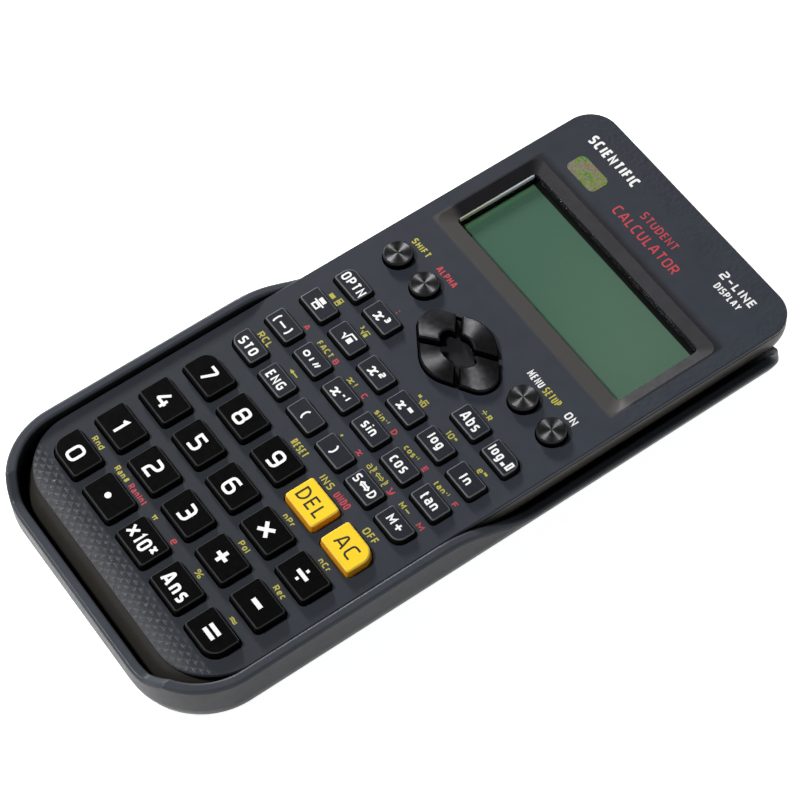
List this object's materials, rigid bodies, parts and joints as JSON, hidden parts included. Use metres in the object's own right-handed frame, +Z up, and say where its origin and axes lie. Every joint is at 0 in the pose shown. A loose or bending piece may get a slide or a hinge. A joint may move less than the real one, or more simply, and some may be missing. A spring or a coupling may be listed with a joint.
{
  "type": "scientific calculator",
  "caption": "Handheld school calculator with a recessed display, block, round and cursor keys, and a hard slide-on cover stored on its back.",
  "frame": {"origin": "middle of the whole object's outline, on the surface that the cover's underside rests on", "axes": "+X to the calculator's right, +Y from the keys to the display, +Z up out of the keys"},
  "size_m": [0.0832, 0.1732, 0.0166],
  "materials": {
    "front_panel": "fine matte moulded plastic with a leather-like emboss at both ends, screen-printed legends",
    "rear_shell": "satin moulded plastic",
    "cover": "satin moulded hard plastic",
    "number_keys": "satin black moulded key cap with white legend",
    "function_keys": "satin dark grey moulded key cap with white legend",
    "clear_keys": "satin yellow moulded key cap with black legend",
    "gloss_keys": "polished black, with turned grooves on the round keys",
    "window": "clear acrylic",
    "lcd": "grey-green reflective liquid crystal cell",
    "silicone": "translucent silicone",
    "board": "green solder mask",
    "battery": "plain sleeve",
    "screws": "zinc plated"
  },
  "bodies": {
    "calculator": {"front_case": "front_panel", "rear_case": "rear_shell", "battery_door": "rear_shell", "case_screws": "screws", "display_window": "window", "lcd_panel": "lcd", "key_mat": "silicone", "main_board": "board", "battery": "battery"},
    "cover": {"slide_cover": "cover"},
    "key_on": {"key_on": "gloss_keys"},
    "cursor_up": {"cursor_up": "gloss_keys"},
    "key_all_clear": {"key_all_clear": "clear_keys"},
    "key_5": {"key_5": "number_keys"},
    "key_equals": {"key_equals": "number_keys"},
    "key_log_base": {"key_log_base": "function_keys"},
    "key_shift": {"key_shift": "gloss_keys"},
    "cursor_left": {"cursor_left": "gloss_keys"},
    "key_0": {"key_0": "number_keys"},
    "key_sine": {"key_sine": "function_keys"},
    "cursor_right": {"cursor_right": "gloss_keys"},
    "cursor_down": {"cursor_down": "gloss_keys"},
    "key_alpha": {"key_alpha": "gloss_keys"},
    "key_menu": {"key_menu": "gloss_keys"},
    "key_delete": {"key_delete": "clear_keys"},
    "key_point": {"key_point": "number_keys"},
    "key_exponent": {"key_exponent": "number_keys"},
    "key_answer": {"key_answer": "number_keys"},
    "key_1": {"key_1": "number_keys"},
    "key_2": {"key_2": "number_keys"},
    "key_3": {"key_3": "number_keys"},
    "key_plus": {"key_plus": "number_keys"},
    "key_minus": {"key_minus": "number_keys"},
    "key_4": {"key_4": "number_keys"},
    "key_6": {"key_6": "number_keys"},
    "key_times": {"key_times": "number_keys"},
    "key_divide": {"key_divide": "number_keys"},
    "key_7": {"key_7": "number_keys"},
    "key_8": {"key_8": "number_keys"},
    "key_9": {"key_9": "number_keys"},
    "key_store": {"key_store": "function_keys"},
    "key_engineering": {"key_engineering": "function_keys"},
    "key_open_bracket": {"key_open_bracket": "function_keys"},
    "key_close_bracket": {"key_close_bracket": "function_keys"},
    "key_standard_decimal": {"key_standard_decimal": "function_keys"},
    "key_memory_plus": {"key_memory_plus": "function_keys"},
    "key_negative": {"key_negative": "function_keys"},
    "key_degrees": {"key_degrees": "function_keys"},
    "key_reciprocal": {"key_reciprocal": "function_keys"},
    "key_cosine": {"key_cosine": "function_keys"},
    "key_tangent": {"key_tangent": "function_keys"},
    "key_fraction": {"key_fraction": "function_keys"},
    "key_square_root": {"key_square_root": "function_keys"},
    "key_square": {"key_square": "function_keys"},
    "key_power": {"key_power": "function_keys"},
    "key_log": {"key_log": "function_keys"},
    "key_ln": {"key_ln": "function_keys"},
    "key_options": {"key_options": "function_keys"},
    "key_cube": {"key_cube": "function_keys"},
    "key_absolute": {"key_absolute": "function_keys"}
  },
  "joints": [
    {"name": "cover_slide", "type": "slide", "parent": "calculator", "child": "cover", "axis": [0, -1, 0], "range_m": [0, 0.17]},
    {"name": "key_on_press", "type": "slide", "parent": "calculator", "child": "key_on", "axis": [0, 0, -1], "range_m": [0, 0.001], "stiffness_N_per_m": 600, "deforming": ["key_mat"]},
    {"name": "cursor_up_press", "type": "slide", "parent": "calculator", "child": "cursor_up", "axis": [0, 0, -1], "range_m": [0, 0.001], "stiffness_N_per_m": 600, "deforming": ["key_mat"]},
    {"name": "key_all_clear_press", "type": "slide", "parent": "calculator", "child": "key_all_clear", "axis": [0, 0, -1], "range_m": [0, 0.001], "stiffness_N_per_m": 600, "deforming": ["key_mat"]},
    {"name": "key_5_press", "type": "slide", "parent": "calculator", "child": "key_5", "axis": [0, 0, -1], "range_m": [0, 0.001], "stiffness_N_per_m": 600, "deforming": ["key_mat"]},
    {"name": "key_equals_press", "type": "slide", "parent": "calculator", "child": "key_equals", "axis": [0, 0, -1], "range_m": [0, 0.001], "stiffness_N_per_m": 600, "deforming": ["key_mat"]},
    {"name": "key_log_base_press", "type": "slide", "parent": "calculator", "child": "key_log_base", "axis": [0, 0, -1], "range_m": [0, 0.001], "stiffness_N_per_m": 600, "deforming": ["key_mat"]},
    {"name": "key_shift_press", "type": "slide", "parent": "calculator", "child": "key_shift", "axis": [0, 0, -1], "range_m": [0, 0.001], "stiffness_N_per_m": 600, "deforming": ["key_mat"]},
    {"name": "cursor_left_press", "type": "slide", "parent": "calculator", "child": "cursor_left", "axis": [0, 0, -1], "range_m": [0, 0.001], "stiffness_N_per_m": 600, "deforming": ["key_mat"]},
    {"name": "key_0_press", "type": "slide", "parent": "calculator", "child": "key_0", "axis": [0, 0, -1], "range_m": [0, 0.001], "stiffness_N_per_m": 600, "deforming": ["key_mat"]},
    {"name": "key_sine_press", "type": "slide", "parent": "calculator", "child": "key_sine", "axis": [0, 0, -1], "range_m": [0, 0.001], "stiffness_N_per_m": 600, "deforming": ["key_mat"]},
    {"name": "cursor_right_press", "type": "slide", "parent": "calculator", "child": "cursor_right", "axis": [0, 0, -1], "range_m": [0, 0.001], "stiffness_N_per_m": 600, "deforming": ["key_mat"]},
    {"name": "cursor_down_press", "type": "slide", "parent": "calculator", "child": "cursor_down", "axis": [0, 0, -1], "range_m": [0, 0.001], "stiffness_N_per_m": 600, "deforming": ["key_mat"]},
    {"name": "key_alpha_press", "type": "slide", "parent": "calculator", "child": "key_alpha", "axis": [0, 0, -1], "range_m": [0, 0.001], "stiffness_N_per_m": 600, "deforming": ["key_mat"]},
    {"name": "key_menu_press", "type": "slide", "parent": "calculator", "child": "key_menu", "axis": [0, 0, -1], "range_m": [0, 0.001], "stiffness_N_per_m": 600, "deforming": ["key_mat"]},
    {"name": "key_delete_press", "type": "slide", "parent": "calculator", "child": "key_delete", "axis": [0, 0, -1], "range_m": [0, 0.001], "stiffness_N_per_m": 600, "deforming": ["key_mat"]},
    {"name": "key_point_press", "type": "slide", "parent": "calculator", "child": "key_point", "axis": [0, 0, -1], "range_m": [0, 0.001], "stiffness_N_per_m": 600, "deforming": ["key_mat"]},
    {"name": "key_exponent_press", "type": "slide", "parent": "calculator", "child": "key_exponent", "axis": [0, 0, -1], "range_m": [0, 0.001], "stiffness_N_per_m": 600, "deforming": ["key_mat"]},
    {"name": "key_answer_press", "type": "slide", "parent": "calculator", "child": "key_answer", "axis": [0, 0, -1], "range_m": [0, 0.001], "stiffness_N_per_m": 600, "deforming": ["key_mat"]},
    {"name": "key_1_press", "type": "slide", "parent": "calculator", "child": "key_1", "axis": [0, 0, -1], "range_m": [0, 0.001], "stiffness_N_per_m": 600, "deforming": ["key_mat"]},
    {"name": "key_2_press", "type": "slide", "parent": "calculator", "child": "key_2", "axis": [0, 0, -1], "range_m": [0, 0.001], "stiffness_N_per_m": 600, "deforming": ["key_mat"]},
    {"name": "key_3_press", "type": "slide", "parent": "calculator", "child": "key_3", "axis": [0, 0, -1], "range_m": [0, 0.001], "stiffness_N_per_m": 600, "deforming": ["key_mat"]},
    {"name": "key_plus_press", "type": "slide", "parent": "calculator", "child": "key_plus", "axis": [0, 0, -1], "range_m": [0, 0.001], "stiffness_N_per_m": 600, "deforming": ["key_mat"]},
    {"name": "key_minus_press", "type": "slide", "parent": "calculator", "child": "key_minus", "axis": [0, 0, -1], "range_m": [0, 0.001], "stiffness_N_per_m": 600, "deforming": ["key_mat"]},
    {"name": "key_4_press", "type": "slide", "parent": "calculator", "child": "key_4", "axis": [0, 0, -1], "range_m": [0, 0.001], "stiffness_N_per_m": 600, "deforming": ["key_mat"]},
    {"name": "key_6_press", "type": "slide", "parent": "calculator", "child": "key_6", "axis": [0, 0, -1], "range_m": [0, 0.001], "stiffness_N_per_m": 600, "deforming": ["key_mat"]},
    {"name": "key_times_press", "type": "slide", "parent": "calculator", "child": "key_times", "axis": [0, 0, -1], "range_m": [0, 0.001], "stiffness_N_per_m": 600, "deforming": ["key_mat"]},
    {"name": "key_divide_press", "type": "slide", "parent": "calculator", "child": "key_divide", "axis": [0, 0, -1], "range_m": [0, 0.001], "stiffness_N_per_m": 600, "deforming": ["key_mat"]},
    {"name": "key_7_press", "type": "slide", "parent": "calculator", "child": "key_7", "axis": [0, 0, -1], "range_m": [0, 0.001], "stiffness_N_per_m": 600, "deforming": ["key_mat"]},
    {"name": "key_8_press", "type": "slide", "parent": "calculator", "child": "key_8", "axis": [0, 0, -1], "range_m": [0, 0.001], "stiffness_N_per_m": 600, "deforming": ["key_mat"]},
    {"name": "key_9_press", "type": "slide", "parent": "calculator", "child": "key_9", "axis": [0, 0, -1], "range_m": [0, 0.001], "stiffness_N_per_m": 600, "deforming": ["key_mat"]},
    {"name": "key_store_press", "type": "slide", "parent": "calculator", "child": "key_store", "axis": [0, 0, -1], "range_m": [0, 0.001], "stiffness_N_per_m": 600, "deforming": ["key_mat"]},
    {"name": "key_engineering_press", "type": "slide", "parent": "calculator", "child": "key_engineering", "axis": [0, 0, -1], "range_m": [0, 0.001], "stiffness_N_per_m": 600, "deforming": ["key_mat"]},
    {"name": "key_open_bracket_press", "type": "slide", "parent": "calculator", "child": "key_open_bracket", "axis": [0, 0, -1], "range_m": [0, 0.001], "stiffness_N_per_m": 600, "deforming": ["key_mat"]},
    {"name": "key_close_bracket_press", "type": "slide", "parent": "calculator", "child": "key_close_bracket", "axis": [0, 0, -1], "range_m": [0, 0.001], "stiffness_N_per_m": 600, "deforming": ["key_mat"]},
    {"name": "key_standard_decimal_press", "type": "slide", "parent": "calculator", "child": "key_standard_decimal", "axis": [0, 0, -1], "range_m": [0, 0.001], "stiffness_N_per_m": 600, "deforming": ["key_mat"]},
    {"name": "key_memory_plus_press", "type": "slide", "parent": "calculator", "child": "key_memory_plus", "axis": [0, 0, -1], "range_m": [0, 0.001], "stiffness_N_per_m": 600, "deforming": ["key_mat"]},
    {"name": "key_negative_press", "type": "slide", "parent": "calculator", "child": "key_negative", "axis": [0, 0, -1], "range_m": [0, 0.001], "stiffness_N_per_m": 600, "deforming": ["key_mat"]},
    {"name": "key_degrees_press", "type": "slide", "parent": "calculator", "child": "key_degrees", "axis": [0, 0, -1], "range_m": [0, 0.001], "stiffness_N_per_m": 600, "deforming": ["key_mat"]},
    {"name": "key_reciprocal_press", "type": "slide", "parent": "calculator", "child": "key_reciprocal", "axis": [0, 0, -1], "range_m": [0, 0.001], "stiffness_N_per_m": 600, "deforming": ["key_mat"]},
    {"name": "key_cosine_press", "type": "slide", "parent": "calculator", "child": "key_cosine", "axis": [0, 0, -1], "range_m": [0, 0.001], "stiffness_N_per_m": 600, "deforming": ["key_mat"]},
    {"name": "key_tangent_press", "type": "slide", "parent": "calculator", "child": "key_tangent", "axis": [0, 0, -1], "range_m": [0, 0.001], "stiffness_N_per_m": 600, "deforming": ["key_mat"]},
    {"name": "key_fraction_press", "type": "slide", "parent": "calculator", "child": "key_fraction", "axis": [0, 0, -1], "range_m": [0, 0.001], "stiffness_N_per_m": 600, "deforming": ["key_mat"]},
    {"name": "key_square_root_press", "type": "slide", "parent": "calculator", "child": "key_square_root", "axis": [0, 0, -1], "range_m": [0, 0.001], "stiffness_N_per_m": 600, "deforming": ["key_mat"]},
    {"name": "key_square_press", "type": "slide", "parent": "calculator", "child": "key_square", "axis": [0, 0, -1], "range_m": [0, 0.001], "stiffness_N_per_m": 600, "deforming": ["key_mat"]},
    {"name": "key_power_press", "type": "slide", "parent": "calculator", "child": "key_power", "axis": [0, 0, -1], "range_m": [0, 0.001], "stiffness_N_per_m": 600, "deforming": ["key_mat"]},
    {"name": "key_log_press", "type": "slide", "parent": "calculator", "child": "key_log", "axis": [0, 0, -1], "range_m": [0, 0.001], "stiffness_N_per_m": 600, "deforming": ["key_mat"]},
    {"name": "key_ln_press", "type": "slide", "parent": "calculator", "child": "key_ln", "axis": [0, 0, -1], "range_m": [0, 0.001], "stiffness_N_per_m": 600, "deforming": ["key_mat"]},
    {"name": "key_options_press", "type": "slide", "parent": "calculator", "child": "key_options", "axis": [0, 0, -1], "range_m": [0, 0.001], "stiffness_N_per_m": 600, "deforming": ["key_mat"]},
    {"name": "key_cube_press", "type": "slide", "parent": "calculator", "child": "key_cube", "axis": [0, 0, -1], "range_m": [0, 0.001], "stiffness_N_per_m": 600, "deforming": ["key_mat"]},
    {"name": "key_absolute_press", "type": "slide", "parent": "calculator", "child": "key_absolute", "axis": [0, 0, -1], "range_m": [0, 0.001], "stiffness_N_per_m": 600, "deforming": ["key_mat"]}
  ]
}
